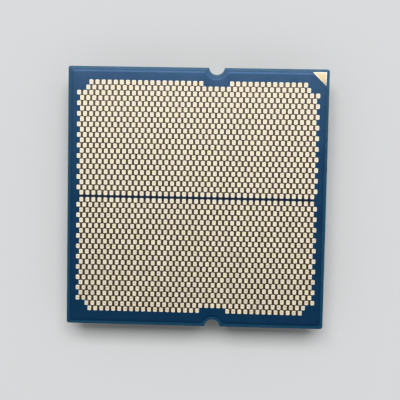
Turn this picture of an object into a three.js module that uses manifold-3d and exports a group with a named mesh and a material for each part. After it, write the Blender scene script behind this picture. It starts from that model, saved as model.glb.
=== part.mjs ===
// A land-grid processor package, lying on its lid with the contact side up.
// Millimetres. The origin is the centre of the lid's flat plateau, +Z points out of the
// contact side, and the pin-one corner is the one towards +X and +Y.
import * as THREE from 'three';
import { mergeVertices } from 'three/addons/utils/BufferGeometryUtils.js';
import Module from 'manifold-3d';

const manifold = await Module();
manifold.setup();

// Package substrate
const packageWidth = 40.0;
const packageDepth = 40.0;
const packageCornerRadius = 0.35;
const coreThickness = 0.8;
const buildUpThickness = 0.25;
const maskThickness = 0.025;
const maskPullBack = 0.45;

// Half-round key notches in the two edges that cross Y
const keyNotchX = 2.82;
const keyNotchRadius = 1.2;
const keyNotchCentreOutside = 0.12;

// Contact lands, in two mirrored fields of staggered rows
const landWidth = 0.57;
const landDepth = 0.68;
const landThickness = 0.025;
const landPitch = 0.94;
const landRowPitch = 0.8123;
const landCentreRowGap = 1.074;
const landMarginX = 1.6;
const landMarginY = 2.3;
const landStepsOfSecondRow = 3;
const landStepsOfOuterRow = 4;
const landsLeftOutAtKey = 4;

// Pin-one mark, a gold triangle on each side of the package
const pinOneLeg = 2.1;
const pinOneInset = 0.45;
const pinOneMaskGap = 0.12;

// Heat spreader
const lidSetback = 1.2;
const lidHeight = 3.2;
const lidCornerRadius = 1.6;
const lidStepHeight = 1.0;
const lidStepWidth = 2.9;
const lidPlateauRadius = 2.2;
const lidPlateauChamfer = 0.25;
const lidMiddleArmWidth = 9.0;
const lidNotchWidth = 6.8;
const lidNotchDepth = 3.9;
const lidNotchInnerRadius = 0.9;
const lidArmCornerRadius = 0.6;
const lidFootDepth = 3.6;
const lidRecessRadius = 1.0;

// Lid adhesive
const adhesiveThickness = 0.15;
const adhesiveSetback = 0.3;
const adhesiveCornerRadius = 0.3;

// Dies, with their underfill and solder preforms
const dieThickness = 0.78;
const underfillThickness = 0.08;
const underfillMargin = 0.6;
const underfillCornerRadius = 0.5;
const preformThickness = 0.25;
const preformSetback = 0.2;
const computeDieWidth = 10.5;
const computeDieDepth = 6.8;
const ioDieWidth = 12.8;
const ioDieDepth = 9.6;
const dieSpacingX = 1.9;
const dieSpacingY = 1.8;

// Decoupling capacitors, a row in each lid notch
const capacitorsPerNotch = 4;
const capacitorLength = 1.0;
const capacitorWidth = 0.5;
const capacitorHeight = 0.5;
const capacitorTerminalLength = 0.25;
const capacitorWaist = 0.03;
const capacitorSideClearance = 0.95;
const capacitorSetback = 1.9;

// Sizes that follow from those above
const halfWidth = packageWidth / 2;
const halfDepth = packageDepth / 2;
const lidHalfWidth = halfWidth - lidSetback;
const lidHalfDepth = halfDepth - lidSetback;
const lidRecessDepth = underfillThickness + dieThickness + preformThickness - adhesiveThickness;

// Levels, from the lid's plateau up to the lands
const packageZ = lidHeight + adhesiveThickness;
const lidBuildUpZ = packageZ + maskThickness;
const coreZ = lidBuildUpZ + buildUpThickness;
const landBuildUpZ = coreZ + coreThickness;
const landMaskZ = landBuildUpZ + buildUpThickness;
const landZ = landMaskZ + maskThickness;

const arcSteps = 4;
const notchSteps = 40;

const finishes = {
  core: { color: 0x4a5a3c, roughness: 0.7, metalness: 0.0 },
  buildUp: { color: 0x2f5f74, roughness: 0.45, metalness: 0.0 },
  mask: { color: 0x123047, roughness: 0.35, metalness: 0.0 },
  gold: { color: 0xe7dcc4, roughness: 0.35, metalness: 1.0 },
  nickel: { color: 0xb9b7b0, roughness: 0.4, metalness: 1.0 },
  adhesive: { color: 0x1c1c1e, roughness: 0.6, metalness: 0.0 },
  silicon: { color: 0x3a3d42, roughness: 0.15, metalness: 0.4 },
  indium: { color: 0xc4c6c9, roughness: 0.3, metalness: 1.0 },
  underfill: { color: 0x23262a, roughness: 0.3, metalness: 0.0 },
  capacitor: { color: 0x8a6f55, roughness: 0.4, metalness: 0.0 },
};

function toSolid(geometry) {
  const bare = geometry.clone();
  bare.deleteAttribute('normal');
  bare.deleteAttribute('uv');
  const merged = mergeVertices(bare);
  const vertProperties = new Float32Array(merged.attributes.position.array);
  const triVerts = new Uint32Array(merged.index.array);
  return new manifold.Manifold(new manifold.Mesh({ numProp: 3, vertProperties, triVerts }));
}

function toGeometry(solid) {
  const mesh = solid.getMesh();
  const geometry = new THREE.BufferGeometry();
  geometry.setAttribute('position', new THREE.BufferAttribute(mesh.vertProperties, 3));
  geometry.setIndex(new THREE.BufferAttribute(mesh.triVerts, 1));
  geometry.computeVertexNormals();
  return geometry;
}

// A closed outline through corners of [x, y, radius], with each corner rounded by an arc
// that takes at most half of the straight sides beside it.
function roundedOutline(corners) {
  const shape = new THREE.Shape();
  const points = corners.map(([x, y]) => new THREE.Vector2(x, y));
  corners.forEach(([x, y, radius = 0], i) => {
    if (radius === 0) {
      if (i === 0) shape.moveTo(x, y);
      else shape.lineTo(x, y);
      return;
    }
    const before = points.at(i - 1).clone().sub(points[i]);
    const after = points[(i + 1) % points.length].clone().sub(points[i]);
    const shorterSide = Math.min(before.length(), after.length());
    before.normalize();
    after.normalize();
    const halfAngle = Math.acos(before.dot(after)) / 2;
    const reach = Math.min(radius / Math.tan(halfAngle), shorterSide / 2);
    const arcRadius = reach * Math.tan(halfAngle);
    const towardsCentre = before.clone().add(after).normalize();
    const centre = points[i].clone().addScaledVector(towardsCentre, arcRadius / Math.sin(halfAngle));
    const start = points[i].clone().addScaledVector(before, reach).sub(centre).angle();
    const end = points[i].clone().addScaledVector(after, reach).sub(centre).angle();
    const turnsRight = before.cross(after) > 0;
    shape.absarc(centre.x, centre.y, arcRadius, start, end, turnsRight);
  });
  shape.closePath();
  return shape;
}

function rectangleOutline(halfX, halfY, radius) {
  return roundedOutline([
    [halfX, halfY, radius],
    [-halfX, halfY, radius],
    [-halfX, -halfY, radius],
    [halfX, -halfY, radius],
  ]);
}

function plate(shape, thickness, bottom = 0) {
  const options = { depth: thickness, bevelEnabled: false, curveSegments: arcSteps };
  return new THREE.ExtrudeGeometry(shape, options).translate(0, 0, bottom);
}

function piece(name, geometry, finish, x = 0, y = 0, z = 0) {
  const mesh = new THREE.Mesh(geometry, new THREE.MeshStandardMaterial(finishes[finish]));
  mesh.name = name;
  mesh.position.set(x, y, z);
  return mesh;
}

// The package outline, pulled back from the edge, with both key notches cut out of it.
function packageLayer(thickness, pullBack, outline) {
  const cutterHeight = thickness * 3;
  const cutter = new THREE.CylinderGeometry(
    keyNotchRadius + pullBack,
    keyNotchRadius + pullBack,
    cutterHeight,
    notchSteps,
  );
  cutter.rotateX(Math.PI / 2);
  let solid = toSolid(plate(outline, thickness));
  for (const side of [-1, 1]) {
    const y = side * (halfDepth + keyNotchCentreOutside);
    solid = solid.subtract(toSolid(cutter.clone().translate(keyNotchX, y, thickness / 2)));
  }
  return toGeometry(solid);
}

function laminate(thickness) {
  return packageLayer(thickness, 0, rectangleOutline(halfWidth, halfDepth, packageCornerRadius));
}

// The mask stops short of the edge, and of the pin-one mark in its corner.
function solderMask() {
  const maskX = halfWidth - maskPullBack;
  const maskY = halfDepth - maskPullBack;
  const markSum = halfWidth + halfDepth - 2 * pinOneInset - pinOneLeg;
  const maskSum = markSum - pinOneMaskGap * Math.SQRT2;
  const outline = roundedOutline([
    [maskX, maskSum - maskX],
    [maskSum - maskY, maskY],
    [-maskX, maskY, packageCornerRadius],
    [-maskX, -maskY, packageCornerRadius],
    [maskX, -maskY, packageCornerRadius],
  ]);
  return packageLayer(maskThickness, maskPullBack, outline);
}

function pinOneMark(thickness) {
  const cornerX = halfWidth - pinOneInset;
  const cornerY = halfDepth - pinOneInset;
  const triangle = roundedOutline([
    [cornerX, cornerY],
    [cornerX - pinOneLeg, cornerY],
    [cornerX, cornerY - pinOneLeg],
  ]);
  return plate(triangle, thickness);
}

// One half's field of lands as a single thin plate: the two outer rows are shorter, and
// the outer row leaves a gap beside the key notch.
function landField(side) {
  const halfPitch = landPitch / 2;
  const steps = Math.floor((halfWidth - landMarginX) / halfPitch);
  const innerRowY = landCentreRowGap / 2;
  const lastRow = Math.floor((halfDepth - landMarginY - innerRowY) / landRowPitch);
  const edgeOfRow = (row) => side * (innerRowY + row * landRowPitch + landDepth / 2);
  const reachOf = (fewer) => (steps - fewer) * halfPitch + landWidth / 2;
  const inner = side * (innerRowY - landDepth / 2);
  const full = reachOf(0);
  const second = reachOf(landStepsOfSecondRow);
  const outer = reachOf(landStepsOfOuterRow);
  const keyGap = ((landsLeftOutAtKey + 1) * landPitch - landWidth) / 2;
  const outline = roundedOutline([
    [-full, inner],
    [full, inner],
    [full, edgeOfRow(lastRow - 2)],
    [second, edgeOfRow(lastRow - 2)],
    [second, edgeOfRow(lastRow - 1)],
    [outer, edgeOfRow(lastRow - 1)],
    [outer, edgeOfRow(lastRow)],
    [keyNotchX + keyGap, edgeOfRow(lastRow)],
    [keyNotchX + keyGap, edgeOfRow(lastRow - 1)],
    [keyNotchX - keyGap, edgeOfRow(lastRow - 1)],
    [keyNotchX - keyGap, edgeOfRow(lastRow)],
    [-outer, edgeOfRow(lastRow)],
    [-outer, edgeOfRow(lastRow - 1)],
    [-second, edgeOfRow(lastRow - 1)],
    [-second, edgeOfRow(lastRow - 2)],
    [-full, edgeOfRow(lastRow - 2)],
  ]);
  return plate(outline, landThickness);
}

// The two notches in one side of the lid, as corners in order along that side.
function lidSideCorners(alongHalf, acrossHalf) {
  const arm = lidMiddleArmWidth / 2;
  const far = arm + lidNotchWidth;
  const floor = acrossHalf - lidNotchDepth;
  return [
    [alongHalf, acrossHalf, lidCornerRadius],
    [far, acrossHalf, lidArmCornerRadius],
    [far, floor, lidNotchInnerRadius],
    [arm, floor, lidNotchInnerRadius],
    [arm, acrossHalf, lidArmCornerRadius],
    [-arm, acrossHalf, lidArmCornerRadius],
    [-arm, floor, lidNotchInnerRadius],
    [-far, floor, lidNotchInnerRadius],
    [-far, acrossHalf, lidArmCornerRadius],
  ];
}

function lidOutline() {
  const alongX = lidSideCorners(lidHalfWidth, lidHalfDepth);
  const alongY = lidSideCorners(lidHalfDepth, lidHalfWidth);
  return roundedOutline([
    ...alongX,
    ...alongY.map(([along, across, radius]) => [-across, along, radius]),
    ...alongX.map(([along, across, radius]) => [-along, -across, radius]),
    ...alongY.map(([along, across, radius]) => [across, -along, radius]),
  ]);
}

function heatSpreader() {
  const plateauX = lidHalfWidth - lidStepWidth;
  const plateauY = lidHalfDepth - lidStepWidth;
  const plateauBody = new THREE.ExtrudeGeometry(rectangleOutline(plateauX, plateauY, lidPlateauRadius), {
    depth: lidStepHeight,
    bevelThickness: lidPlateauChamfer,
    bevelSize: lidPlateauChamfer,
    bevelOffset: -lidPlateauChamfer,
    bevelSegments: 1,
    curveSegments: arcSteps,
  });
  plateauBody.translate(0, 0, lidPlateauChamfer);
  const trimHeight = lidHeight * 3;
  const trim = toSolid(plate(lidOutline(), trimHeight, lidHeight - trimHeight));
  const flange = toSolid(plate(lidOutline(), lidHeight - lidStepHeight, lidStepHeight));
  const recessX = lidHalfWidth - lidFootDepth;
  const recessY = lidHalfDepth - lidFootDepth;
  const recess = plate(
    rectangleOutline(recessX, recessY, lidRecessRadius),
    lidRecessDepth * 2,
    lidHeight - lidRecessDepth,
  );
  const plateau = toSolid(plateauBody).intersect(trim);
  return toGeometry(flange.add(plateau).subtract(toSolid(recess)));
}

// Adhesive under a middle foot, with its length along X.
function middleAdhesive() {
  const halfLength = lidMiddleArmWidth / 2 - adhesiveSetback;
  const halfBreadth = lidFootDepth / 2 - adhesiveSetback;
  return plate(rectangleOutline(halfLength, halfBreadth, adhesiveCornerRadius), adhesiveThickness);
}

// Adhesive under the L-shaped foot of the corner towards signX and signY.
function cornerAdhesive(signX, signY) {
  const notchEnd = lidMiddleArmWidth / 2 + lidNotchWidth + adhesiveSetback;
  const innerX = lidHalfWidth - lidFootDepth + adhesiveSetback;
  const innerY = lidHalfDepth - lidFootDepth + adhesiveSetback;
  const outerX = lidHalfWidth - adhesiveSetback;
  const outerY = lidHalfDepth - adhesiveSetback;
  const corners = [
    [notchEnd, innerY, adhesiveCornerRadius],
    [innerX, innerY, adhesiveCornerRadius],
    [innerX, notchEnd, adhesiveCornerRadius],
    [outerX, notchEnd, adhesiveCornerRadius],
    [outerX, outerY, lidCornerRadius - adhesiveSetback],
    [notchEnd, outerY, adhesiveCornerRadius],
  ];
  return plate(roundedOutline(corners.map(([x, y, r]) => [signX * x, signY * y, r])), adhesiveThickness);
}

function adhesivePads() {
  const group = new THREE.Group();
  const middleX = lidHalfWidth - lidFootDepth / 2;
  const middleY = lidHalfDepth - lidFootDepth / 2;
  const north = piece('lid_adhesive_north', middleAdhesive(), 'adhesive', 0, middleY);
  const south = piece('lid_adhesive_south', middleAdhesive(), 'adhesive', 0, -middleY);
  const east = piece('lid_adhesive_east', middleAdhesive().rotateZ(Math.PI / 2), 'adhesive', middleX);
  const west = piece('lid_adhesive_west', middleAdhesive().rotateZ(Math.PI / 2), 'adhesive', -middleX);
  group.add(north, south, east, west);
  group.add(piece('lid_adhesive_north_east', cornerAdhesive(1, 1), 'adhesive'));
  group.add(piece('lid_adhesive_north_west', cornerAdhesive(-1, 1), 'adhesive'));
  group.add(piece('lid_adhesive_south_west', cornerAdhesive(-1, -1), 'adhesive'));
  group.add(piece('lid_adhesive_south_east', cornerAdhesive(1, -1), 'adhesive'));
  group.position.z = lidHeight;
  return group;
}

// A die with its underfill towards the package and its solder preform towards the lid.
function dieStack(name, width, depth, x, y) {
  const group = new THREE.Group();
  const preform = new THREE.BoxGeometry(
    width - 2 * preformSetback,
    depth - 2 * preformSetback,
    preformThickness,
  );
  const die = new THREE.BoxGeometry(width, depth, dieThickness);
  const underfillX = width / 2 + underfillMargin;
  const underfillY = depth / 2 + underfillMargin;
  const underfill = plate(rectangleOutline(underfillX, underfillY, underfillCornerRadius), underfillThickness);
  const preformZ = lidHeight - lidRecessDepth;
  const dieZ = preformZ + preformThickness;
  group.add(piece(`${name}_solder_preform`, preform, 'indium', 0, 0, preformZ + preformThickness / 2));
  group.add(piece(name, die, 'silicon', 0, 0, dieZ + dieThickness / 2));
  group.add(piece(`${name}_underfill`, underfill, 'underfill', 0, 0, dieZ + dieThickness));
  group.position.set(x, y, 0);
  return group;
}

// Two compute dies side by side, and the input-output die beside them.
function dies() {
  const group = new THREE.Group();
  const computeX = (computeDieWidth + dieSpacingX) / 2;
  const computeY = (ioDieDepth + dieSpacingY) / 2;
  const ioY = -(computeDieDepth + dieSpacingY) / 2;
  group.add(dieStack('compute_die_1', computeDieWidth, computeDieDepth, -computeX, computeY));
  group.add(dieStack('compute_die_2', computeDieWidth, computeDieDepth, computeX, computeY));
  group.add(dieStack('io_die', ioDieWidth, ioDieDepth, 0, ioY));
  return group;
}

// A chip capacitor with its length along Y: a ceramic body, slimmer than its two end caps.
function capacitor() {
  const waistWidth = capacitorWidth - 2 * capacitorWaist;
  const waistHeight = capacitorHeight - 2 * capacitorWaist;
  let solid = toSolid(new THREE.BoxGeometry(waistWidth, capacitorLength / 2, waistHeight));
  for (const side of [-1, 1]) {
    const end = new THREE.BoxGeometry(capacitorWidth, capacitorTerminalLength, capacitorHeight);
    end.translate(0, (side * (capacitorLength - capacitorTerminalLength)) / 2, 0);
    const bridge = new THREE.BoxGeometry(waistWidth, capacitorLength / 2, waistHeight);
    bridge.translate(0, (side * capacitorLength) / 8, 0);
    solid = solid.add(toSolid(bridge)).add(toSolid(end));
  }
  return toGeometry(solid);
}

// The capacitors of one side of the package, in the two notches of that side of the lid.
function capacitorSide(sideName, turn, acrossHalf) {
  const group = new THREE.Group();
  const notchCentre = (lidMiddleArmWidth + lidNotchWidth) / 2;
  const rowLength = lidNotchWidth - 2 * capacitorSideClearance - capacitorWidth;
  const pitch = rowLength / (capacitorsPerNotch - 1);
  const z = packageZ - capacitorHeight / 2;
  let number = 1;
  for (const notch of [-1, 1]) {
    for (let i = 0; i < capacitorsPerNotch; i++) {
      const x = notch * notchCentre - rowLength / 2 + i * pitch;
      const name = `capacitor_${sideName}_${number}`;
      group.add(piece(name, capacitor(), 'capacitor', x, acrossHalf - capacitorSetback, z));
      number++;
    }
  }
  group.rotation.z = turn;
  return group;
}

function substrate() {
  const group = new THREE.Group();
  group.add(piece('substrate_core', laminate(coreThickness), 'core', 0, 0, coreZ));
  group.add(piece('build_up_lid_side', laminate(buildUpThickness), 'buildUp', 0, 0, lidBuildUpZ));
  group.add(piece('build_up_land_side', laminate(buildUpThickness), 'buildUp', 0, 0, landBuildUpZ));
  group.add(piece('solder_mask_lid_side', solderMask(), 'mask', 0, 0, packageZ));
  group.add(piece('solder_mask_land_side', solderMask(), 'mask', 0, 0, landMaskZ));
  return group;
}

function goldwork() {
  const group = new THREE.Group();
  const landSideMark = pinOneMark(maskThickness + landThickness);
  group.add(piece('pin_one_mark_land_side', landSideMark, 'gold', 0, 0, landMaskZ));
  group.add(piece('pin_one_mark_lid_side', pinOneMark(maskThickness), 'gold', 0, 0, packageZ));
  group.add(piece('land_field_north', landField(1), 'gold', 0, 0, landZ));
  group.add(piece('land_field_south', landField(-1), 'gold', 0, 0, landZ));
  return group;
}

function capacitors() {
  const group = new THREE.Group();
  group.add(capacitorSide('north', 0, lidHalfDepth));
  group.add(capacitorSide('west', Math.PI / 2, lidHalfWidth));
  group.add(capacitorSide('south', Math.PI, lidHalfDepth));
  group.add(capacitorSide('east', -Math.PI / 2, lidHalfWidth));
  return group;
}

const processor = new THREE.Group();
processor.add(substrate());
processor.add(goldwork());
processor.add(piece('heat_spreader', heatSpreader(), 'nickel'));
processor.add(adhesivePads());
processor.add(dies());
processor.add(capacitors());

export default processor;
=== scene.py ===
import math

import bmesh
import bpy
from bpy.props import FloatProperty, FloatVectorProperty, IntProperty, PointerProperty
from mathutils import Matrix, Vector


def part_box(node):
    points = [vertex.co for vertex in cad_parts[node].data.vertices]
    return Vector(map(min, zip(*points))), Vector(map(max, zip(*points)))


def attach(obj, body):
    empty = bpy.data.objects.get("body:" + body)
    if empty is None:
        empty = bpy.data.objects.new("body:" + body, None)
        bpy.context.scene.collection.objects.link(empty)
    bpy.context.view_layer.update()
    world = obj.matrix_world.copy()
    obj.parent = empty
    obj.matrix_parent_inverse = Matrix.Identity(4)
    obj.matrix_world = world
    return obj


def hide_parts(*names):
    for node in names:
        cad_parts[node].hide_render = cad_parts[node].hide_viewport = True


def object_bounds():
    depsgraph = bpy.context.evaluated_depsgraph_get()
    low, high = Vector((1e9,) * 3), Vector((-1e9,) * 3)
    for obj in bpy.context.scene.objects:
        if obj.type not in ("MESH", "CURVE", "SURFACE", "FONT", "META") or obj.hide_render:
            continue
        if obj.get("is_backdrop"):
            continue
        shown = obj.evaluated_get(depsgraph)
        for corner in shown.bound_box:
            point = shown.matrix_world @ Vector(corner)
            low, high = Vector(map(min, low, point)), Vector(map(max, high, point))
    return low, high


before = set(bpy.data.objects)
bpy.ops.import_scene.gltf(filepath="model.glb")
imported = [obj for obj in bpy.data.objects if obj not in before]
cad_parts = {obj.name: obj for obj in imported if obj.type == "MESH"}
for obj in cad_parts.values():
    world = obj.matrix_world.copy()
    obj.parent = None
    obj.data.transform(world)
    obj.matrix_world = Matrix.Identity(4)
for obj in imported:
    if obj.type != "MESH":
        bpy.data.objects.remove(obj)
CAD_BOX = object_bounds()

bl_info = {
    "name": "Processor Package",
    "version": (1, 0, 0),
    "blender": (4, 5, 0),
    "location": "3D View > Sidebar > Package",
    "description": "Lands, laminate, lid and chip capacitors of a land-grid processor",
    "category": "Object",
}

MM = 0.001
BODY = "root"

# Pieces are modelled in millimetres and brought to metres when they are settled.
MERGE_DISTANCE = 1e-4
FLAT_ANGLE = math.radians(0.5)
SHARP_ANGLE = math.radians(30)
SMOOTH_ANGLE = math.radians(35)
STRAIGHT = 0.9  # cosine from which an edge or a face counts as pointing straight up

# A land's shoulder and the ring inside it, as shares of the shoulder's width, and the wall of
# its dimple, as a share of the dimple's radius.
SHOULDER_DROP = 0.6
SHOULDER_RING = 0.1
DIMPLE_WALL = 0.4
LAND_SMOOTH_ANGLE = math.radians(8)

# Solder at a capacitor: its height as a share of the end cap's, how far its outer edge is drawn
# towards the pad as a share of that height, and its width where it is highest as a share of its
# width at the pad.
FILLET_RISE = 0.55
FILLET_DRAW = 0.85
FILLET_TAPER = 0.86
FILLET_SHARP_ANGLE = math.radians(20)

# Plies of glass in the core, and sizes of the layers and bundles that show, in millimetres.
GLASS_PLIES = 6
GLASS_BUNDLE = 0.75
BUILD_UP_PLY = 0.052
CERAMIC_LAYER = 0.04

# Relief along the outline, in millimetres: the slope at the mask's edge, by its width (which is
# also the width of the painted shadow along that edge) and its height, and the rounding of the
# bare rim, by where it starts and ends and its height.
MASK_EDGE_WIDTH = 0.40
MASK_EDGE_RELIEF = 0.038
RIM_START = -0.2
RIM_END = 0.55
RIM_RELIEF = 0.036

# Painted brown shade between the lands, in millimetres: the width of its soft edge. Then the
# painted shade of the middle channel: half the width over which it is even, and where it fades
# out, from its last land on.
GAP_SHADE_EDGE = 0.16
CHANNEL_EVEN = 0.10
CHANNEL_FADE_START = -0.73
CHANNEL_FADE_END = 0.27

# Degrees above the floor at which the walls' light changes.
BRIGHT_FROM = 30
BRIGHT_TO = 46
CEILING_FROM = 62

# Distance from the camera at which things begin to be drawn, in metres.
NEAREST_SEEN = 0.001

# Sockets of a Mix node that mixes colours.
MIX_AMOUNT = 0
MIX_FIRST = 6
MIX_SECOND = 7
MIX_RESULT = 2


# ---------------------------------------------------------------- user settings


def millimetres(label, default, about):
    return FloatProperty(
        name=label, description=f"{about}, in mm", default=default, min=0.0, precision=4
    )


def number(label, default, about):
    return IntProperty(name=label, description=about, default=default, min=0)


def metres(label, default, about):
    return FloatProperty(name=label, description=about, default=default, min=0.0, unit="LENGTH")


def amount(label, default, about):
    return FloatProperty(name=label, description=about, default=default, min=0.0)


def colour(label, default, about):
    return FloatVectorProperty(
        name=label, description=about, default=default, size=3, min=0.0, max=1.0, subtype="COLOR"
    )


class LandSettings(bpy.types.PropertyGroup):
    """Sizes of one contact land and of the two staggered fields."""

    width: millimetres("Width", 0.57, "Width of a land along X")
    depth: millimetres("Depth", 0.68, "Depth of a land along Y")
    corner: millimetres("Corner radius", 0.09, "Radius of a land's corners")
    shoulder: millimetres("Shoulder", 0.018, "Rounding of a land's upper edge")
    dimple: millimetres("Dimple radius", 0.12, "Radius of the sunken spot over the via")
    dimple_depth: millimetres("Dimple depth", 0.008, "Depth of that spot")
    pitch: millimetres("Pitch", 0.94, "Distance from land to land in a row")
    row_pitch: millimetres("Row pitch", 0.8123, "Distance from row to row")
    centre_gap: millimetres("Centre gap", 1.074, "Distance between the two middle rows")
    rows: number("Rows", 22, "Rows in each half")
    reach: number("Reach", 39, "Half pitches from the middle to the last land")
    second_cut: number("Second row cut", 3, "Half pitches cut off the second outer row")
    outer_cut: number("Outer row cut", 4, "Half pitches cut off the outer row")
    key_step: number("Key place", 6, "Half pitches from the middle to the key notch")
    key_lands: number("Lands left out", 4, "Lands left out beside the key notch")


class PackageSettings(bpy.types.PropertyGroup):
    """Edge roundings and small sizes of the other pieces."""

    lid_edge: millimetres("Lid edge", 0.12, "Rounding of the heat spreader's edges")
    bead_edge: millimetres("Adhesive edge", 0.05, "Rounding of the adhesive's edges")
    mark_edge: millimetres("Mark edge", 0.012, "Rounding of the pin-one mark's edges")
    terminal: millimetres("Terminal length", 0.25, "Length of a capacitor's end cap")
    terminal_edge: millimetres("Terminal edge", 0.06, "Rounding of a capacitor's end cap")
    waist: millimetres("Waist", 0.03, "How far the ceramic lies below its end caps")
    fillet: millimetres("Solder fillet", 0.14, "How far the solder reaches out from an end cap")
    key_radius: millimetres("Key notch radius", 1.2, "Radius of the key notches")
    key_outside: millimetres("Key notch centre", 0.12, "Key notch centre's place outside the edge")
    pull_back: millimetres("Mask pull-back", 0.45, "Width of the bare rim in front of the mask")


class ColourSettings(bpy.types.PropertyGroup):
    """Colours of the finishes."""

    gold: colour("Land gold", (0.795, 0.724, 0.583), "Gold plate of the lands")
    gold_rosy: colour("Rosy gold", (0.82, 0.71, 0.585), "Gold of the rosier lands")
    gold_yellow: colour("Yellow gold", (0.80, 0.735, 0.50), "Gold of the yellower lands")
    via: colour("Via spot", (0.62, 0.47, 0.20), "Browner spot over a land's via")
    mark: colour("Mark gold", (0.60, 0.465, 0.25), "Gold plate of the pin-one mark")
    # Painted highlight: paler gold along the pin-one mark's edges.
    mark_edge_highlight: colour("Mark edge gold", (0.68, 0.61, 0.46), "Paler gold along the mark's edges")
    mask: colour("Solder mask", (0.020, 0.056, 0.120), "Solder mask")
    mask_copper: colour("Mask over copper", (0.018, 0.064, 0.118), "Solder mask over solid copper")
    mask_cloud: colour("Clouded mask", (0.030, 0.058, 0.118), "Thinner, cloudy solder mask")
    # Painted shade over the solder mask: brown between the lands, and darker still in the middle
    # channel.
    shade_between_lands: colour("Mask between lands", (0.095, 0.067, 0.053), "Solder mask between the lands")
    channel: colour("Channel", (0.034, 0.029, 0.030), "Solder mask in the middle channel")
    rim: colour("Rim", (0.030, 0.070, 0.116), "Bare laminate in front of the mask's edge")
    rim_cloud: colour("Clouded rim", (0.034, 0.076, 0.122), "Paler patches of that rim")
    laminate: colour("Laminate edge", (0.03, 0.10, 0.12), "Cut edge of the build-up layers")
    ply: colour("Ply line", (0.012, 0.045, 0.06), "Darker lines between those layers")
    core: colour("Core edge", (0.085, 0.082, 0.042), "Resin at the cut edge of the core")
    glass: colour("Glass bundles", (0.155, 0.150, 0.085), "Cut glass bundles in the core")
    nickel: colour("Nickel", (0.54, 0.525, 0.50), "Nickel plate of the heat spreader")
    nickel_worn: colour("Handled nickel", (0.45, 0.43, 0.395), "Smudges on the heat spreader")
    adhesive: colour("Adhesive", (0.012, 0.012, 0.013), "Silicone adhesive under the lid")
    silicon: colour("Silicon", (0.045, 0.05, 0.06), "Back and sawn sides of the dies")
    indium: colour("Indium", (0.62, 0.63, 0.65), "Solder preforms between dies and lid")
    epoxy: colour("Underfill", (0.016, 0.018, 0.022), "Underfill epoxy")
    ceramic: colour("Ceramic", (0.26, 0.15, 0.085), "Capacitor ceramic")
    ceramic_pale: colour("Pale ceramic", (0.34, 0.22, 0.14), "Paler blotches of that ceramic")
    tin: colour("Tin", (0.66, 0.65, 0.63), "Tinned capacitor end caps and solder")
    floor: colour("Floor", (0.43, 0.43, 0.425), "Studio floor")
    walls: colour("Walls", (0.97, 0.985, 1.0), "Light from the studio's walls")
    softbox: colour("Softbox", (0.96, 0.98, 1.0), "Light from the softbox")


class StudioSettings(bpy.types.PropertyGroup):
    """Camera, lights and floor."""

    camera_place: FloatVectorProperty(
        name="Camera place",
        description="Where the camera stands",
        default=(0.003777, 0.006075, 0.111515),
        unit="LENGTH",
    )
    camera_turn: FloatVectorProperty(
        name="Camera turn",
        description="Tilt of the camera from straight down",
        default=tuple(math.radians(a) for a in (-3.3717, 1.7686, 1.0816)),
        subtype="EULER",
        unit="ROTATION",
    )
    lens: millimetres("Lens", 62.307, "Focal length")
    sensor: millimetres("Sensor", 36.0, "Width of the sensor")
    horizon: amount("Horizon", 0.70, "Radiance of the walls at the floor")
    daylight: amount("Daylight", 0.90, "Radiance of the walls' bright upper part")
    ceiling: amount("Ceiling", 0.08, "Radiance of the darker ceiling straight above")
    softbox_power: amount("Softbox power", 66.0, "Power of the softbox, in watts")
    softbox_place: FloatVectorProperty(
        name="Softbox place",
        description="Where the softbox hangs",
        default=(0.0, 1.08, 1.68),
        unit="LENGTH",
    )
    softbox_width: metres("Softbox width", 2.0, "Width of the softbox along X")
    softbox_height: metres("Softbox height", 0.96, "Height of the softbox")
    floor_size: metres("Floor size", 12.0, "Side of the square floor")
    fade_start: metres("Fade start", 0.06, "Where the floor starts to run into the walls' light")
    fade_end: metres("Fade end", 0.70, "Where only that light is left")


def colours():
    return bpy.context.scene.package_colours


def land_sizes():
    return bpy.context.scene.package_lands


def package_sizes():
    return bpy.context.scene.package_sizes


# ---------------------------------------------------------------- shader maths


class Field:
    """One value of a look over its surface. Arithmetic on it adds the nodes."""

    def __init__(self, look, socket):
        self.look = look
        self.socket = socket

    def math(self, operation, *values):
        return self.look.node("ShaderNodeMath", {"operation": operation}, values)

    def __add__(self, other):
        return self.math("ADD", self, other)

    __radd__ = __add__

    def __sub__(self, other):
        return self.math("SUBTRACT", self, other)

    def __rsub__(self, other):
        return self.math("SUBTRACT", other, self)

    def __mul__(self, other):
        return self.math("MULTIPLY", self, other)

    __rmul__ = __mul__

    def __truediv__(self, other):
        return self.math("DIVIDE", self, other)

    def __mod__(self, other):
        return self.math("FLOORED_MODULO", self, other)

    def __abs__(self):
        return self.math("ABSOLUTE", self)

    def __round__(self):
        return self.math("ROUND", self)

    def floor(self):
        return self.math("FLOOR", self)

    def root(self):
        return self.math("SQRT", self)

    def sine(self):
        return self.math("SINE", self)

    def sign(self):
        return self.math("SIGN", self)

    def most(self, other):
        return self.math("MAXIMUM", self, other)

    def least(self, other):
        return self.math("MINIMUM", self, other)

    def ramp(self, start, end):
        """0 up to start, 1 from end on, and a smooth rise between; start may be the larger."""
        settings = {"interpolation_type": "SMOOTHSTEP"}
        return self.look.node("ShaderNodeMapRange", settings, (self, start, end))


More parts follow.
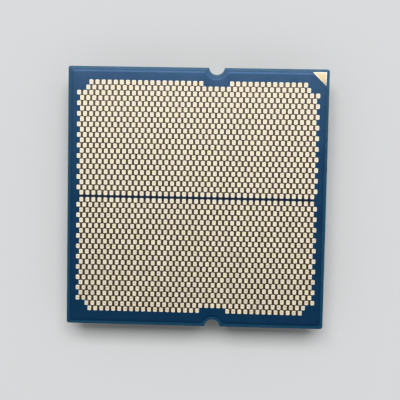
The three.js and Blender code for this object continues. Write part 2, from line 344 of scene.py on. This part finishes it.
class Look:
    """The nodes of a material or a world. All of them come from its node method."""

    def __init__(self, owner):
        owner.use_nodes = True
        self.owner = owner
        self.tree = owner.node_tree
        self.tree.nodes.clear()

    def node(self, kind, settings, inputs, output=0):
        """Adds a node: its settings first, then the values or links of its sockets.

        It gives back the output that is asked for, or nothing if the node has no outputs.
        """
        node = self.tree.nodes.new(kind)
        for key, value in settings.items():
            setattr(node, key, value)
        pairs = inputs.items() if isinstance(inputs, dict) else enumerate(inputs)
        for key, value in pairs:
            self.feed(node.inputs[key], value)
        return Field(self, node.outputs[output]) if node.outputs else None

    def feed(self, socket, value):
        """Links a field to a socket, or sets the socket to a number, a colour or a vector."""
        if isinstance(value, Field):
            self.tree.links.new(value.socket, socket)
        elif hasattr(value, "__len__"):
            socket.default_value = (*value, 1.0)[: len(socket.default_value)]
        else:
            socket.default_value = value

    def split(self, vector):
        """The X, Y and Z of a vector."""
        parts = self.node("ShaderNodeSeparateXYZ", {}, (vector,))
        return [Field(self, output) for output in parts.socket.node.outputs]


class Finish(Look):
    """A procedural material, written as expressions over the piece's own coordinates in mm."""

    def __init__(self, name):
        super().__init__(bpy.data.materials.new(name))
        coordinates = self.node("ShaderNodeTexCoord", {}, (), output="Object")
        scaling = {0: coordinates, "Scale": 1 / MM}
        self.place = self.node("ShaderNodeVectorMath", {"operation": "SCALE"}, scaling)
        self.x, self.y, self.z = self.split(self.place)

    def point(self, x, y, z):
        return self.node("ShaderNodeCombineXYZ", {}, (x, y, z))

    def noise(self, grain, detail, at=None, roughness=0.5):
        """Noise from 0 to 1 whose blotches are about grain millimetres across."""
        inputs = {
            "Vector": at or self.place,
            "Scale": 1 / grain,
            "Detail": detail,
            "Roughness": roughness,
        }
        return self.node("ShaderNodeTexNoise", {}, inputs)

    def cells(self, grain):
        """Distance from the middle of cells that are about grain millimetres across."""
        return self.node("ShaderNodeTexVoronoi", {}, {"Vector": self.place, "Scale": 1 / grain})

    def chance(self, column, row, draw):
        """A random number from 0 to 1 for each column and row. Another draw gives others."""
        inputs = {"Vector": self.point(column, row, draw)}
        return self.node("ShaderNodeTexWhiteNoise", {"noise_dimensions": "3D"}, inputs)

    def mix(self, amount, first, second, blend="MIX"):
        """A colour that goes from first to second as amount goes from 0 to 1."""
        settings = {"data_type": "RGBA", "blend_type": blend}
        inputs = {MIX_AMOUNT: amount, MIX_FIRST: first, MIX_SECOND: second}
        return self.node("ShaderNodeMix", settings, inputs, output=MIX_RESULT)

    def tint(self, base, amount):
        """base made darker or lighter by a field round 1."""
        grey = self.node("ShaderNodeCombineColor", {}, (amount, amount, amount))
        return self.mix(1.0, base, grey, blend="MULTIPLY")

    def bump(self, relief, strength):
        """A normal for a relief given in millimetres, taken at strength."""
        inputs = {"Height": relief, "Distance": MM, "Strength": strength}
        return self.node("ShaderNodeBump", {}, inputs)

    def shade(self, **sockets):
        """Closes the finish with its shader. Socket names are written with underscores."""
        inputs = {key.replace("_", " "): value for key, value in sockets.items()}
        surface = self.node("ShaderNodeBsdfPrincipled", {}, inputs)
        self.node("ShaderNodeOutputMaterial", {}, {"Surface": surface})
        return self.owner


# ---------------------------------------------------------------- finishes


def lattice(finish, lands):
    """The land that a point belongs to, and the point's place on that land, in mm."""
    half = abs(finish.y)
    row = round((half - lands.centre_gap / 2) / lands.row_pitch)
    stagger = row % 2 * 0.5
    column = round(finish.x / lands.pitch - stagger)
    across = finish.x - (column + stagger) * lands.pitch
    along = half - row * lands.row_pitch - lands.centre_gap / 2
    return column, row * finish.y.sign(), across, along


def land_gold():
    """Pale gold plate: each land a little different, with a browner spot over its via."""
    lands = land_sizes()
    finish = Finish("land_gold")
    column, row, across, along = lattice(finish, lands)
    own = finish.chance(column, row, draw=0.0)
    own_warmth = finish.chance(column, row, draw=7.0)
    radius = (across * across + along * along).root()
    spot = 1 - radius.ramp(lands.dimple * 0.55, lands.dimple * 1.25)
    grain = finish.noise(0.035, 4.0)
    smear = finish.noise(4.5, 3.0)
    rosy = finish.mix(own_warmth.ramp(0.5, 1.0) * 0.4, colours().gold, colours().gold_rosy)
    plated = finish.mix(own_warmth.ramp(0.4, 0.0) * 0.5, rosy, colours().gold_yellow)
    spotted = finish.mix(spot * 0.5, plated, colours().via)
    brightness = 0.875 + own * 0.07 + (smear - 0.5) * 0.12 + (grain - 0.5) * 0.10
    return finish.shade(
        Base_Color=finish.tint(spotted, brightness),
        Metallic=0.86,
        Roughness=0.49 + own * 0.04 + (grain - 0.5) * 0.20 - spot * 0.06,
        Normal=finish.bump(grain * 0.004, 0.5),
    )


def mark_gold():
    """Warm gold plate with a painted highlight along its edges, a fine grain and a few rubbed
    streaks.
    """
    finish = Finish("mark_gold")
    low, high = (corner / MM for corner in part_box("pin_one_mark_land_side"))
    slope = (finish.x + finish.y - (low.x + high.y)) * math.sqrt(0.5)
    rim = slope.least(high.x - finish.x).least(high.y - finish.y)
    grain = finish.noise(0.05, 4.0)
    slant = finish.point((finish.x + finish.y) * 0.12, (finish.x - finish.y) * 2.2, 0.0)
    streaks = finish.noise(0.5, 3.0, at=slant)
    # Painted highlight along the edges: the gold turns paler towards them.
    gold = finish.mix(rim.ramp(0.06, 0.34), colours().mark_edge_highlight, colours().mark)
    return finish.shade(
        Base_Color=finish.tint(gold, 0.9 + streaks * 0.2),
        Metallic=0.9,
        Roughness=0.36 + grain * 0.16,
        Normal=finish.bump(grain * 0.004, 0.5),
    )


def edge_distance(finish):
    """Distance in from the package's outline, key notches included, in mm."""
    lands, sizes = land_sizes(), package_sizes()
    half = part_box("substrate_core")[1] / MM
    beside = half.x - abs(finish.x)
    ahead = half.y - abs(finish.y)
    from_key_x = finish.x - lands.key_step * lands.pitch / 2
    from_key_y = ahead + sizes.key_outside
    from_key = (from_key_x * from_key_x + from_key_y * from_key_y).root() - sizes.key_radius
    return beside.least(ahead).least(from_key)


def between_lands(finish, lands):
    """Where the painted shade falls: 1 in the gaps between lands, 0 in the border, cut corners,
    key gaps and channel.
    """
    half_x, half_y = abs(finish.x), abs(finish.y)
    from_key = abs(finish.x - lands.key_step * lands.pitch / 2)
    key_gap = (lands.key_lands + 1) * lands.pitch / 2
    middle_row = lands.centre_gap / 2
    ends = []
    for back, cut in ((3, 0), (2, lands.second_cut), (1, lands.outer_cut)):
        reach = (lands.reach - cut) * lands.pitch / 2 - GAP_SHADE_EDGE / 2
        outer = (lands.rows - back) * lands.row_pitch + middle_row + lands.depth / 2
        across = 1 - half_x.ramp(reach - GAP_SHADE_EDGE, reach)
        ends.append(across * (1 - half_y.ramp(outer - GAP_SHADE_EDGE, outer)))
    inner_rows, second_row, outer_row = ends
    outer_runs = outer_row * from_key.ramp(key_gap - GAP_SHADE_EDGE, key_gap)
    covered = inner_rows.most(second_row).most(outer_runs)
    return covered * half_y.ramp(middle_row - lands.depth / 3, middle_row)


def middle_channel(finish, lands):
    """Where the painted shade of the middle channel falls: 1 in the channel between the two fields
    of lands, fading out past its ends.
    """
    end = lands.reach * lands.pitch / 2
    across = 1 - abs(finish.x).ramp(end + CHANNEL_FADE_START, end + CHANNEL_FADE_END)
    return across * (1 - abs(finish.y).ramp(CHANNEL_EVEN, lands.centre_gap / 2))


def solder_mask(name, over_lands):
    """Blue mask over copper: clouded, with faint buried vias, with painted brown shade between the
    lands and a painted shadow along its edge.
    """
    lands, pull_back = land_sizes(), package_sizes().pull_back
    finish = Finish(name)
    cloud = finish.noise(2.6, 4.0)
    fine = finish.noise(0.12, 3.0)
    vias = 1 - finish.cells(0.55).ramp(0.10, 0.30)
    copper = finish.noise(5.0, 1.0).ramp(0.44, 0.56)
    navy = finish.mix(copper * 0.35, colours().mask, colours().mask_copper)
    base = finish.mix(cloud.ramp(0.35, 0.7) * 0.4, navy, colours().mask_cloud)
    if over_lands:
        # Painted shade: brown between the lands, and darker in the middle channel.
        base = finish.mix(between_lands(finish, lands), base, colours().shade_between_lands)
        base = finish.mix(middle_channel(finish, lands) * 0.7, base, colours().channel)
    # Painted shadow along the mask's edge: the mask is darker over a band just inside its edge.
    # The same band lifts its relief into a slope.
    inside = edge_distance(finish).ramp(pull_back, pull_back + MASK_EDGE_WIDTH)
    brightness = 0.66 + inside * 0.22 + cloud * 0.20 + vias * 0.08 + (fine - 0.5) * 0.12
    relief = cloud * 0.0024 + vias * 0.0018 + fine * 0.0018 + inside * MASK_EDGE_RELIEF
    return finish.shade(
        Base_Color=finish.tint(base, brightness),
        Metallic=0.76,
        Roughness=0.34 + (fine - 0.5) * 0.16 + cloud * 0.08,
        Coat_Weight=0.9,
        Coat_Roughness=0.30,
        Normal=finish.bump(relief, 0.6),
    )


def laminate(name, top):
    """Build-up layers: a teal resin rim on the open face, and ply lines along the cut edge."""
    finish = Finish(name)
    on_face = finish.z.ramp(top - 0.004, top - 0.001)
    cloud = finish.noise(0.9, 3.0)
    fine = finish.noise(0.07, 3.0)
    plies = (finish.z * (2 * math.pi / BUILD_UP_PLY)).sine() * 0.5 + 0.5
    sawn = finish.noise(0.6, 4.0, at=finish.point(finish.x + finish.y, finish.z * 14.0, 0.0))
    layered = finish.mix(plies * 0.55, colours().laminate, colours().ply)
    edge = finish.tint(layered, 0.65 + sawn * 0.7)
    rim = finish.mix(cloud.ramp(0.35, 0.7) * 0.5, colours().rim, colours().rim_cloud)
    rounding = on_face * edge_distance(finish).ramp(RIM_START, RIM_END)
    return finish.shade(
        Base_Color=finish.mix(on_face, edge, finish.tint(rim, 0.88 + fine * 0.24)),
        Metallic=on_face * 0.45,
        Roughness=0.48 + (sawn - 0.5) * 0.3 - on_face * 0.12,
        Normal=finish.bump(sawn * 0.0072 + fine * 0.0048 + rounding * RIM_RELIEF, 0.7),
    )


def fibre_core(bottom, thickness):
    """Glass-fibre core: flat bundles cut through in every ply, with fine strands, in resin."""
    finish = Finish("fibre_core")
    along = finish.x + finish.y
    drift = finish.noise(2.2, 3.0)
    height = (finish.z - bottom) * (GLASS_PLIES / thickness) + (drift - 0.5) * 0.7
    own = finish.chance(height.floor(), 3.0, draw=0.0)
    phase = along * (2 * math.pi / GLASS_BUNDLE) + own * 6.0 + drift * 9.0
    bundle = (phase.sine() * 0.5 + 0.5) * abs((height * math.pi).sine())
    strands = finish.noise(0.5, 5.0, at=finish.point(along * 0.5, finish.z * 11.0, 0.0))
    grain = finish.noise(0.05, 3.0)
    glass = finish.mix(bundle.ramp(0.1, 0.9) * 0.55, colours().core, colours().glass)
    return finish.shade(
        Base_Color=finish.tint(glass, 0.55 + strands * 0.7 + grain * 0.2),
        Roughness=0.58 + (strands - 0.5) * 0.3,
        Normal=finish.bump(bundle * 0.0045 + strands * 0.0075 + grain * 0.003, 0.8),
    )


def nickel_plate():
    """Satin nickel plate: fine grit, faint press lines on the walls, and handling smudges."""
    finish = Finish("nickel_plate")
    grit = finish.noise(0.045, 3.0, roughness=0.6)
    coarse = finish.noise(0.35, 3.0)
    smudge = finish.noise(7.0, 4.0)
    drawn = finish.point((finish.x + finish.y) * 1.5, finish.x - finish.y, finish.z * 0.15)
    lines = finish.noise(0.25, 3.0, at=drawn)
    tone = finish.mix(smudge.ramp(0.4, 0.75) * 0.5, colours().nickel, colours().nickel_worn)
    brightness = 0.90 + (grit - 0.5) * 0.08 + (lines - 0.5) * 0.14 + (smudge - 0.5) * 0.1
    return finish.shade(
        Base_Color=finish.tint(tone, brightness),
        Metallic=1.0,
        Roughness=0.30 + (smudge - 0.5) * 0.22 + (grit - 0.5) * 0.10,
        Normal=finish.bump(grit * 0.00096 + coarse * 0.0048 + lines * 0.00224, 0.5),
    )


def silicone_bead():
    """Dark silicone with a soft, slightly lumpy skin."""
    finish = Finish("silicone_bead")
    lumps = finish.noise(0.5, 3.0)
    fine = finish.noise(0.06, 2.0)
    return finish.shade(
        Base_Color=finish.tint(colours().adhesive, 0.7 + lumps * 0.7),
        Roughness=0.42 + lumps * 0.25,
        Normal=finish.bump(lumps * 0.014 + fine * 0.006, 0.6),
    )


def die_silicon():
    """Silicon: a ground back with fine circular grinding marks, and chipped sawn sides."""
    finish = Finish("die_silicon")
    radius = (finish.x * finish.x + finish.y * finish.y).root()
    grinding = finish.noise(0.3, 3.0, at=finish.point(radius * 3.0, finish.z * 2.0, 0.0))
    chips = finish.noise(0.08, 3.0)
    return finish.shade(
        Base_Color=finish.tint(colours().silicon, 0.8 + grinding * 0.4),
        Metallic=0.35,
        Roughness=0.16 + grinding * 0.12 + (chips - 0.5) * 0.08,
        Normal=finish.bump(grinding * 0.0015 + chips * 0.0015, 0.5),
    )


def indium_sheet():
    """Soft indium, wetted to the lid, with shallow flow ripples."""
    finish = Finish("indium_sheet")
    ripples = finish.noise(1.2, 4.0)
    fine = finish.noise(0.09, 3.0)
    return finish.shade(
        Base_Color=finish.tint(colours().indium, 0.85 + ripples * 0.3),
        Metallic=1.0,
        Roughness=0.28 + fine * 0.2,
        Normal=finish.bump(ripples * 0.012 + fine * 0.008, 0.6),
    )


def underfill_epoxy():
    """Dark filled epoxy with a glossy meniscus."""
    finish = Finish("underfill_epoxy")
    filler = finish.noise(0.05, 3.0)
    flow = finish.noise(1.6, 3.0)
    return finish.shade(
        Base_Color=finish.tint(colours().epoxy, 0.8 + filler * 0.5),
        Roughness=0.18 + flow * 0.22,
        Normal=finish.bump(flow * 0.007 + filler * 0.003, 0.5),
    )


def capacitor_ceramic():
    """Fired brown ceramic with a fine speckle and faint layer lines."""
    finish = Finish("capacitor_ceramic")
    speckle = finish.noise(0.03, 3.0)
    blotch = finish.noise(0.4, 3.0)
    layers = (finish.z * (2 * math.pi / CERAMIC_LAYER)).sine() * 0.5 + 0.5
    tone = finish.mix(blotch * 0.6, colours().ceramic, colours().ceramic_pale)
    return finish.shade(
        Base_Color=finish.tint(tone, 0.84 + speckle * 0.24 + layers * 0.06),
        Roughness=0.38 + speckle * 0.2,
        Normal=finish.bump(speckle * 0.0021 + layers * 0.0009, 0.6),
    )


def tinned(name, wet):
    """Tin on the end caps (wet is 0), or the smoother solder that wets them (wet is 1)."""
    finish = Finish(name)
    crystal = finish.noise(0.08, 3.0)
    patch = finish.noise(0.35, 2.0)
    return finish.shade(
        Base_Color=finish.tint(colours().tin, 0.8 + patch * 0.35),
        Metallic=1.0,
        Roughness=0.40 - wet * 0.2 + crystal * 0.16,
        Normal=finish.bump(crystal * 0.006, 0.6 - wet * 0.3),
    )


def studio_floor(studio):
    """Plain pale paper with hardly any tooth, that runs into the light of the walls far out."""
    finish = Finish("studio_floor")
    tooth = finish.noise(0.5, 3.0)
    radius = (finish.x * finish.x + finish.y * finish.y).root()
    far = radius.ramp(studio.fade_start / MM, studio.fade_end / MM)
    walls = tuple(part * studio.horizon for part in colours().walls)
    black = (0.0, 0.0, 0.0)
    paper = finish.tint(colours().floor, 0.985 + tooth * 0.03)
    return finish.shade(
        Base_Color=finish.mix(far, paper, black),
        Emission_Color=finish.mix(far, black, walls),
        Emission_Strength=1.0,
        Roughness=0.95,
        Specular_IOR_Level=0.05,
        Normal=finish.bump(tooth * 0.01, 0.3),
    )


def studio_walls(studio):
    """Even light from pale walls all round, under a darker ceiling."""
    walls = Look(bpy.data.worlds.new("studio_walls"))
    direction = walls.node("ShaderNodeTexCoord", {}, (), output="Generated")
    height = walls.split(direction)[2]
    bright_from, bright_to, ceiling_from = (
        math.sin(math.radians(degrees)) for degrees in (BRIGHT_FROM, BRIGHT_TO, CEILING_FROM)
    )
    brighter = height.ramp(0.0, bright_from) * (studio.daylight - studio.horizon)
    darker = height.ramp(bright_to, ceiling_from) * (studio.ceiling - studio.daylight)
    inputs = {"Color": colours().walls, "Strength": brighter + darker + studio.horizon}
    light = walls.node("ShaderNodeBackground", {}, inputs)
    walls.node("ShaderNodeOutputWorld", {}, {"Surface": light})
    return walls.owner


# ---------------------------------------------------------------- modelling helpers


def choose(*pieces):
    """Selects only these pieces, and makes the first one active."""
    bpy.ops.object.select_all(action="DESELECT")
    for piece in pieces:
        piece.select_set(True)
    bpy.context.view_layer.objects.active = pieces[0]


def start_editing(piece, mode):
    """Goes into edit mode with nothing selected. mode is VERT, EDGE or FACE."""
    choose(piece)
    bpy.ops.object.mode_set(mode="EDIT")
    bpy.ops.mesh.select_mode(type=mode)
    bpy.ops.mesh.select_all(action="DESELECT")


def stop_editing():
    """Goes back to object mode."""
    bpy.ops.object.mode_set(mode="OBJECT")


def select_where(piece, kind, test):
    """In edit mode, selects just the verts, edges or faces that pass test."""
    mesh = bmesh.from_edit_mesh(piece.data)
    for face in mesh.faces:
        face.select_set(False)
    for edge in mesh.edges:
        edge.select_set(False)
    for item in getattr(mesh, kind):
        item.select_set(bool(test(item)))
    bmesh.update_edit_mesh(piece.data)


def block(name, low, high):
    """A box between two corners, in mm, as the start of a piece."""
    low, high = Vector(low), Vector(high)
    bpy.ops.mesh.primitive_cube_add(size=1.0, location=(low + high) / 2)
    piece = bpy.context.active_object
    piece.name = name
    piece.scale = high - low
    choose(piece)
    bpy.ops.object.transform_apply(location=True, rotation=True, scale=True)
    return piece


def round_edges(piece, width, segments, angle=SHARP_ANGLE):
    """Rounds every edge that is sharper than angle."""
    choose(piece)
    bevel = piece.modifiers.new("round", "BEVEL")
    bevel.width = width
    bevel.segments = segments
    bevel.limit_method = "ANGLE"
    bevel.angle_limit = angle
    bpy.ops.object.modifier_apply(modifier=bevel.name)


def copy_of(piece, name):
    """A copy with a mesh of its own, at the same place."""
    twin = bpy.data.objects.new(name, piece.data.copy())
    bpy.context.scene.collection.objects.link(twin)
    return twin


def node_copy(node, name):
    """A copy of a CAD node in mm, its triangles merged into plain faces, to be worked on."""
    piece = copy_of(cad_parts[node], name)
    piece.scale = (1 / MM,) * 3
    choose(piece)
    bpy.ops.object.transform_apply(location=True, rotation=True, scale=True)
    bpy.ops.object.mode_set(mode="EDIT")
    bpy.ops.mesh.select_all(action="SELECT")
    bpy.ops.mesh.remove_doubles(threshold=MERGE_DISTANCE)
    bpy.ops.mesh.dissolve_limited(angle_limit=FLAT_ANGLE)
    stop_editing()
    return piece


def finish_with(piece, material):
    """Gives a piece its material."""
    piece.data.materials.clear()
    piece.data.materials.append(material)


def settle(piece, slot, *nodes, smooth=SMOOTH_ANGLE):
    """Brings a piece to metres and puts it on its body, in place of its CAD nodes."""
    piece.scale = (MM,) * 3
    piece.location = piece.location * MM
    choose(piece)
    bpy.ops.object.transform_apply(location=True, rotation=True, scale=True)
    bpy.ops.object.shade_smooth_by_angle(angle=smooth)
    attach(piece, BODY)
    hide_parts(*nodes)


def level(node, corner):
    """Height of a CAD node's lowest (0) or highest (1) face, in mm."""
    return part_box(node)[corner].z / MM


# ---------------------------------------------------------------- pieces


def model_land(lands, bottom, top):
    """One land: rounded corners, a soft shoulder, and a shallow round dimple over its via."""
    half_width, half_depth = lands.width / 2, lands.depth / 2
    drop = lands.shoulder * SHOULDER_DROP
    land = block("land", (-half_width, -half_depth, bottom), (half_width, half_depth, top - drop))
    start_editing(land, "EDGE")
    select_where(land, "edges", is_upright)
    bpy.ops.mesh.bevel(offset=lands.corner, segments=2, affect="EDGES")
    bpy.ops.mesh.select_mode(type="FACE")
    select_where(land, "faces", lambda face: face.normal.z > STRAIGHT)
    bpy.ops.mesh.inset(thickness=lands.shoulder, depth=drop)
    bpy.ops.mesh.inset(thickness=lands.shoulder * SHOULDER_RING)
    across, along = (lands.dimple / (half - lands.shoulder) for half in (half_width, half_depth))
    bpy.ops.transform.resize(value=(across, along, 1), center_override=(0, 0, top))
    bpy.ops.transform.tosphere(value=1.0, center_override=(0, 0, top))
    bpy.ops.mesh.inset(thickness=lands.dimple * DIMPLE_WALL, depth=-lands.dimple_depth)
    stop_editing()
    return land


def is_upright(edge):
    """Whether an edge runs straight up."""
    along = edge.verts[1].co - edge.verts[0].co
    return abs(along.z) > STRAIGHT * along.length


def land_row(land, lands, first, last, y):
    """A row of lands, spaced by an array. first and last are places in half pitches."""
    row = copy_of(land, "land_row")
    array = row.modifiers.new("row", "ARRAY")
    array.count = (last - first) // 2 + 1
    array.use_relative_offset = False
    array.use_constant_offset = True
    array.constant_offset_displace = (lands.pitch, 0, 0)
    choose(row)
    bpy.ops.object.modifier_apply(modifier=array.name)
    row.location = (first * lands.pitch / 2, y, 0)
    return row


def land_runs(lands, row):
    """The runs of lands in a row, each as its first and last place in half pitches."""
    if row == lands.rows - 1:
        reach = lands.reach - lands.outer_cut
        before_key = lands.key_step - lands.key_lands - 1
        after_key = lands.key_step + lands.key_lands + 1
        return [(-reach, before_key), (after_key, reach)]
    if row == lands.rows - 2:
        reach = lands.reach - lands.second_cut
    else:
        reach = lands.reach - (row + lands.reach) % 2
    return [(-reach, reach)]


def land_field(name, node, side):
    """One half's field of lands, as one piece. side is 1 for north and -1 for south."""
    lands = land_sizes()
    land = model_land(lands, level(node, 0), level(node, 1))
    rows = []
    for row in range(lands.rows):
        y = side * (lands.centre_gap / 2 + row * lands.row_pitch)
        for first, last in land_runs(lands, row):
            rows.append(land_row(land, lands, first, last, y))
    bpy.data.objects.remove(land)
    choose(*rows)
    bpy.ops.object.join()
    field = rows[0]
    field.name = name
    choose(field)
    bpy.ops.object.transform_apply(location=True, rotation=True, scale=True)
    return field


def model_capacitor():
    """A chip capacitor hanging from z = 0, its length along Y: ceramic, end caps and solder."""
    sizes = package_sizes()
    low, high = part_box("capacitor_north_1")
    width, length, height = (high - low) / MM
    slim = width / 2 - sizes.waist
    ceramic = block(
        "ceramic",
        (-slim, -length / 2 + sizes.terminal / 2, -height + sizes.waist),
        (slim, length / 2 - sizes.terminal / 2, -sizes.waist),
    )
    round_edges(ceramic, sizes.waist, 2)
    finish_with(ceramic, bpy.data.materials["capacitor_ceramic"])
    parts = [ceramic]
    for end in (-1, 1):
        outer, inner = end * length / 2, end * (length / 2 - sizes.terminal)
        cap = block(
            "end_cap",
            (-width / 2, min(outer, inner), -height),
            (width / 2, max(outer, inner), 0),
        )
        round_edges(cap, sizes.terminal_edge, 3)
        finish_with(cap, bpy.data.materials["end_cap_tin"])
        parts += [cap, model_fillet(sizes, width, length, height, end)]
    choose(*parts)
    bpy.ops.object.join()
    return ceramic


def model_fillet(sizes, width, length, height, end):
    """Solder that climbs an end cap from its pad: a block whose outer edge is drawn down."""
    root, toe = end * (length / 2 - sizes.terminal / 2), end * (length / 2 + sizes.fillet)
    rise = height * FILLET_RISE

    def is_climbing(vert):
        return vert.co.z < -rise / 2

    def is_outer(vert):
        return is_climbing(vert) and abs(vert.co.y - toe) < sizes.fillet / 2

    fillet = block(
        "fillet",
        (-width / 2 - sizes.waist, min(root, toe), -rise),
        (width / 2 + sizes.waist, max(root, toe), 0),
    )
    start_editing(fillet, "VERT")
    select_where(fillet, "verts", is_outer)
    bpy.ops.transform.translate(value=(0, 0, rise * FILLET_DRAW))
    select_where(fillet, "verts", is_climbing)
    bpy.ops.transform.resize(value=(FILLET_TAPER, 1, 1), center_override=(0, root, -rise))
    stop_editing()
    round_edges(fillet, sizes.waist, 3, angle=FILLET_SHARP_ANGLE)
    finish_with(fillet, bpy.data.materials["solder"])
    return fillet


# ---------------------------------------------------------------- operators


class PACKAGE_OT_finishes(bpy.types.Operator):
    """Make the procedural finishes and put them on the CAD pieces that stay as they are."""

    bl_idname = "package.finishes"
    bl_label = "Make Finishes"

    def execute(self, context):
        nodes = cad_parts
        core_low, core_high = level("substrate_core", 0), level("substrate_core", 1)
        on_nodes = {
            "substrate_core": fibre_core(core_low, core_high - core_low),
            "build_up_land_side": laminate("laminate_land_side", level("build_up_land_side", 1)),
            "build_up_lid_side": laminate("laminate_lid_side", level("build_up_lid_side", 1)),
            "solder_mask_land_side": solder_mask("mask_land_side", True),
            "solder_mask_lid_side": solder_mask("mask_lid_side", False),
        }
        silicon, indium, epoxy = die_silicon(), indium_sheet(), underfill_epoxy()
        for die in ("compute_die_1", "compute_die_2", "io_die"):
            on_nodes[die] = silicon
            on_nodes[f"{die}_solder_preform"] = indium
            on_nodes[f"{die}_underfill"] = epoxy
        for node, material in on_nodes.items():
            finish_with(nodes[node], material)
        capacitor_ceramic()
        tinned("end_cap_tin", 0.0)
        tinned("solder", 1.0)
        return {"FINISHED"}


class PACKAGE_OT_lands(bpy.types.Operator):
    """Model the two fields of gold contact lands."""

    bl_idname = "package.lands"
    bl_label = "Model Contact Lands"

    def execute(self, context):
        gold = land_gold()
        for name, node, side in (
            ("lands_north", "land_field_north", 1),
            ("lands_south", "land_field_south", -1),
        ):
            field = land_field(name, node, side)
            finish_with(field, gold)
            settle(field, "gold_plate", node, smooth=LAND_SMOOTH_ANGLE)
        return {"FINISHED"}


class PACKAGE_OT_marks(bpy.types.Operator):
    """Model the gold pin-one mark on each side of the package."""

    bl_idname = "package.marks"
    bl_label = "Model Pin-One Marks"

    def execute(self, context):
        gold = mark_gold()
        for side in ("land_side", "lid_side"):
            node = f"pin_one_mark_{side}"
            mark = node_copy(node, f"pin_one_triangle_{side}")
            round_edges(mark, package_sizes().mark_edge, 2)
            finish_with(mark, gold)
            settle(mark, "gold_plate", node)
        return {"FINISHED"}


class PACKAGE_OT_lid(bpy.types.Operator):
    """Round the edges of the nickel-plated heat spreader."""

    bl_idname = "package.lid"
    bl_label = "Model Heat Spreader"

    def execute(self, context):
        lid = node_copy("heat_spreader", "nickel_heat_spreader")
        round_edges(lid, package_sizes().lid_edge, 3)
        finish_with(lid, nickel_plate())
        settle(lid, "nickel_plate", "heat_spreader")
        return {"FINISHED"}


class PACKAGE_OT_adhesive(bpy.types.Operator):
    """Model the adhesive beads under the heat spreader's feet."""

    bl_idname = "package.adhesive"
    bl_label = "Model Lid Adhesive"

    def execute(self, context):
        silicone = silicone_bead()
        for node in sorted(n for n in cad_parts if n.startswith("lid_adhesive")):
            bead = node_copy(node, node.replace("lid_adhesive", "adhesive_bead"))
            round_edges(bead, package_sizes().bead_edge, 3)
            finish_with(bead, silicone)
            settle(bead, "lid_adhesive", node)
        return {"FINISHED"}


class PACKAGE_OT_capacitors(bpy.types.Operator):
    """Model one chip capacitor and copy it to every place in the lid's notches."""

    bl_idname = "package.capacitors"
    bl_label = "Model Capacitors"

    def execute(self, context):
        pattern = model_capacitor()
        for node in sorted(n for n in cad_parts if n.startswith("capacitor_")):
            low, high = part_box(node)
            chip = copy_of(pattern, node.replace("capacitor", "chip_capacitor"))
            lies_along_x = high.x - low.x > high.y - low.y
            chip.rotation_euler.z = math.pi / 2 if lies_along_x else 0.0
            chip.location = Vector(((low.x + high.x) / 2, (low.y + high.y) / 2, high.z)) / MM
            settle(chip, "capacitor", node)
        bpy.data.objects.remove(pattern)
        return {"FINISHED"}


class PACKAGE_OT_stage(bpy.types.Operator):
    """Lay the floor, hang the lights and set up the camera."""

    bl_idname = "package.stage"
    bl_label = "Set Up Studio"

    def execute(self, context):
        studio = context.scene.package_studio
        self.lay_floor(context, studio)
        self.hang_lights(context, studio)
        self.place_camera(context, studio)
        context.scene.view_settings.view_transform = "Khronos PBR Neutral"
        return {"FINISHED"}

    def lay_floor(self, context, studio):
        bpy.ops.object.select_all(action="DESELECT")
        bpy.ops.mesh.primitive_plane_add(size=studio.floor_size, location=(0, 0, 0))
        floor = context.active_object
        floor.name = "studio_floor"
        finish_with(floor, studio_floor(studio))
        floor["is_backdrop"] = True

    def hang_lights(self, context, studio):
        context.scene.world = studio_walls(studio)
        bpy.ops.object.light_add(type="AREA", location=studio.softbox_place)
        softbox = context.active_object
        softbox.name = "north_softbox"
        softbox.rotation_euler = Vector(studio.softbox_place).to_track_quat("Z", "Y").to_euler()
        softbox.data.shape = "RECTANGLE"
        softbox.data.size = studio.softbox_width
        softbox.data.size_y = studio.softbox_height
        softbox.data.energy = studio.softbox_power
        softbox.data.color = colours().softbox

    def place_camera(self, context, studio):
        bpy.ops.object.camera_add(location=studio.camera_place, rotation=studio.camera_turn)
        camera = context.active_object
        camera.data.lens = studio.lens
        camera.data.sensor_width = studio.sensor
        camera.data.clip_start = NEAREST_SEEN
        context.scene.camera = camera


class PACKAGE_PT_panel(bpy.types.Panel):
    """Lists the steps that build the package, and their settings."""

    bl_idname = "PACKAGE_PT_panel"
    bl_label = "Processor Package"
    bl_space_type = "VIEW_3D"
    bl_region_type = "UI"
    bl_category = "Package"

    def draw(self, context):
        layout = self.layout
        for step in STEPS:
            layout.operator(step.bl_idname)
        for group in SETTINGS:
            settings = getattr(context.scene, group)
            box = layout.box()
            for key in settings.__annotations__:
                box.prop(settings, key)


STEPS = (
    PACKAGE_OT_stage,
    PACKAGE_OT_finishes,
    PACKAGE_OT_lands,
    PACKAGE_OT_marks,
    PACKAGE_OT_lid,
    PACKAGE_OT_adhesive,
    PACKAGE_OT_capacitors,
)
SETTINGS = {
    "package_lands": LandSettings,
    "package_sizes": PackageSettings,
    "package_colours": ColourSettings,
    "package_studio": StudioSettings,
}
CLASSES = (*SETTINGS.values(), *STEPS, PACKAGE_PT_panel)


def register():
    for cls in CLASSES:
        bpy.utils.register_class(cls)
    for name, group in SETTINGS.items():
        setattr(bpy.types.Scene, name, PointerProperty(type=group))


def unregister():
    for name in SETTINGS:
        delattr(bpy.types.Scene, name)
    for cls in reversed(CLASSES):
        bpy.utils.unregister_class(cls)


def main():
    register()
    bpy.ops.package.stage()
    bpy.ops.package.finishes()
    bpy.ops.package.lands()
    bpy.ops.package.marks()
    bpy.ops.package.lid()
    bpy.ops.package.adhesive()
    bpy.ops.package.capacitors()
    sizes = {"cad_box": CAD_BOX, "visual_box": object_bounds()}
    {key: [list(corner) for corner in box] for key, box in sizes.items()}


if __name__ == "__main__":
    main()
